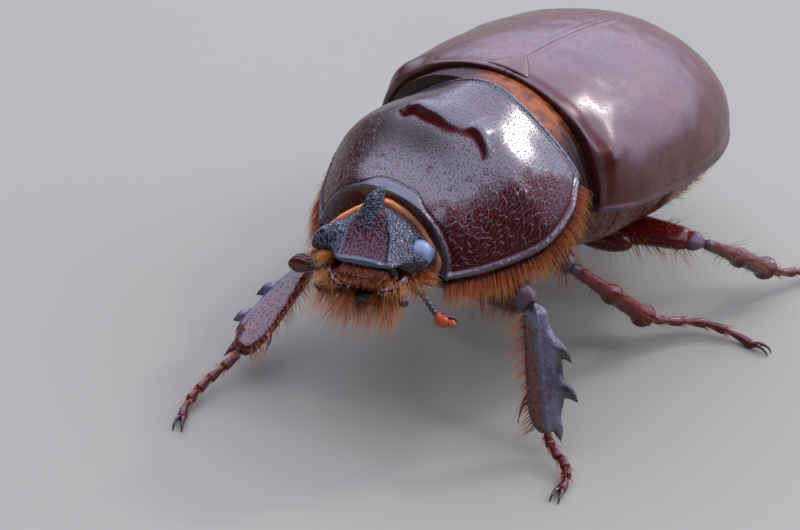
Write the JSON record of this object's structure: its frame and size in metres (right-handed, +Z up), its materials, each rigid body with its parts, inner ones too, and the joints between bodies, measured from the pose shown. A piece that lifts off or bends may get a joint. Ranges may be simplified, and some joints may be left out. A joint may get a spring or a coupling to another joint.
{
  "type": "rhinoceros beetle",
  "caption": "Female rhinoceros beetle standing with its head turned: domed shield, short horn, smooth wing cases and spiny digging fore legs.",
  "frame": {"origin": "on the floor, at the middle of the footprint", "axes": "+Z up, the head towards -Y, the beetle's own left side towards +X"},
  "size_m": [0.032, 0.0462, 0.0179],
  "materials": {
    "eye": "smooth, very glossy dark grey",
    "head_shell": "wrinkled near-black horn",
    "membrane": "folded orange skin",
    "mouth_and_feelers": "glossy dark red",
    "antenna_club": "matt orange-red",
    "shield_shell": "glossy near-black red-brown shell with fine pits",
    "underside": "glossy dark red, haired",
    "wing_case": "smooth, very glossy chestnut shell",
    "leg": "glossy dark red to blue-black"
  },
  "bodies": {
    "root": {"eye_left": "eye", "eye_right": "eye", "head": "head_shell", "horn": "head_shell", "neck": "membrane", "labrum": "mouth_and_feelers", "labium": "mouth_and_feelers", "mandible_left": "head_shell", "palp_left": "mouth_and_feelers", "mandible_right": "head_shell", "palp_right": "mouth_and_feelers", "antenna_left": "mouth_and_feelers", "antenna_club_left": "antenna_club", "antenna_right": "mouth_and_feelers", "antenna_club_right": "antenna_club", "pronotum": "shield_shell", "prosternum": "underside", "scutellum": "shield_shell", "elytron_left": "wing_case", "elytron_right": "wing_case", "thorax": "underside", "abdomen": "underside", "waist": "membrane", "coxa_fore_left": "leg", "femur_fore_left": "leg", "tibia_fore_left": "leg", "tarsus_fore_left": "leg", "coxa_fore_right": "leg", "femur_fore_right": "leg", "tibia_fore_right": "leg", "tarsus_fore_right": "leg", "coxa_middle_left": "leg", "femur_middle_left": "leg", "tibia_middle_left": "leg", "tarsus_middle_left": "leg", "coxa_middle_right": "leg", "femur_middle_right": "leg", "tibia_middle_right": "leg", "tarsus_middle_right": "leg", "coxa_hind_left": "leg", "femur_hind_left": "leg", "tibia_hind_left": "leg", "tarsus_hind_left": "leg", "coxa_hind_right": "leg", "femur_hind_right": "leg", "tibia_hind_right": "leg", "tarsus_hind_right": "leg"}
  },
  "joints": []
}
